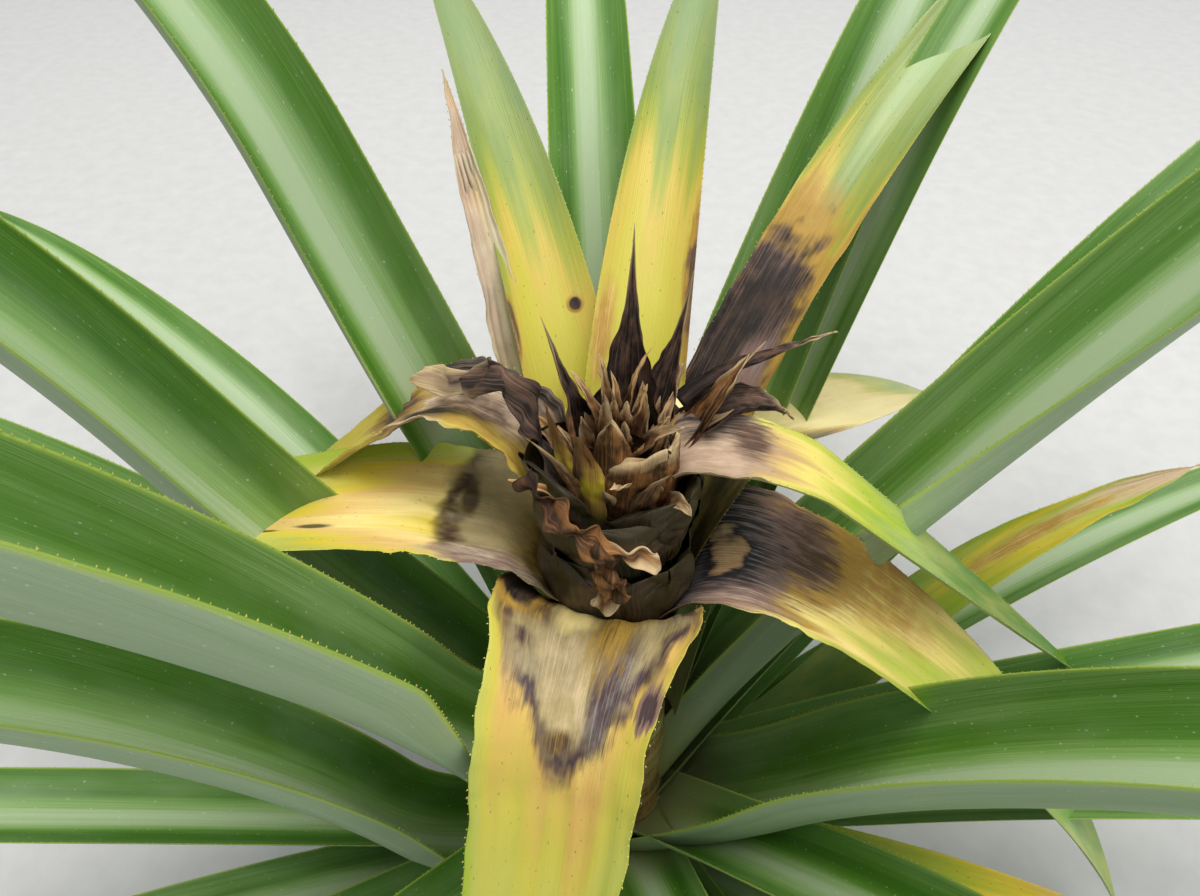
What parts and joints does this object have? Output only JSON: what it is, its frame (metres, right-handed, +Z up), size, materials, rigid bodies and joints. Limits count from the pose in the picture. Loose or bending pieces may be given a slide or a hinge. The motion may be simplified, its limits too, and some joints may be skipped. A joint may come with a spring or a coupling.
{
  "type": "pineapple plant",
  "caption": "Field-grown pineapple plant: a rosette of long gutter-shaped leaves on a short stem, with a rotted, dead heart and collapsed yellow inner leaves.",
  "frame": {"origin": "centre of the stem's flat cut at ground level", "axes": "+Z up along the stem; -Y is the side that the picture is taken from, where the yellow leaf hangs; +X is to the right in it"},
  "size_m": [1.3972, 1.3261, 0.7888],
  "materials": {
    "stem": "rough, ringed with old leaf scars",
    "green_leaf": "satin green above, pale and waxy below",
    "dying_leaf": "satin yellow, rotten or dried brown towards the foot",
    "dead_tissue": "dry, papery, brown to black"
  },
  "bodies": {
    "root": {"stem": "stem", "heart": "dead_tissue", "dead_leaf_back": "dead_tissue", "dead_leaf_back_right": "dead_tissue", "dead_leaf_left": "dead_tissue", "dead_leaf_front": "dead_tissue", "dead_leaf_front_left": "dead_tissue", "dead_leaf_right": "dead_tissue", "leaf_bent_right": "dying_leaf", "leaf_withered_left": "dying_leaf", "leaf_yellow_left": "dying_leaf", "leaf_front_hanging": "dying_leaf", "leaf_front_right": "dying_leaf", "leaf_upright_right": "dying_leaf", "leaf_scorched_right": "dying_leaf", "leaf_upright_left": "dying_leaf", "leaf_withered_back": "dying_leaf", "leaf_yellow_right": "dying_leaf", "leaf_back": "green_leaf", "leaf_back_right": "green_leaf", "leaf_back_left": "green_leaf", "leaf_back_right_outer": "green_leaf", "leaf_front_left": "green_leaf", "leaf_right": "green_leaf", "leaf_left": "green_leaf", "leaf_right_outer": "green_leaf", "leaf_back_left_outer": "green_leaf", "leaf_back_outer": "green_leaf", "leaf_left_outer": "green_leaf", "leaf_front_left_arching": "green_leaf", "leaf_front_arching": "green_leaf", "leaf_front_right_arching": "green_leaf", "leaf_low_right": "green_leaf", "leaf_low_front_right": "green_leaf", "leaf_low_front_left": "green_leaf", "leaf_low_left": "green_leaf", "leaf_low_right_dying": "dying_leaf", "leaf_low_back_right": "green_leaf", "leaf_low_back": "green_leaf", "leaf_low_back_outer": "green_leaf", "leaf_low_back_left": "green_leaf", "leaf_low_back_left_outer": "green_leaf", "leaf_low_left_outer": "green_leaf", "leaf_low_front_left_outer": "green_leaf", "leaf_low_front_left_short": "green_leaf", "leaf_low_front": "green_leaf", "leaf_low_front_middle": "green_leaf", "leaf_low_front_short": "green_leaf", "leaf_low_front_right_outer": "green_leaf", "leaf_low_dried_tip": "dying_leaf", "leaf_low_right_outer": "green_leaf", "leaf_low_right_back": "green_leaf"}
  },
  "joints": []
}
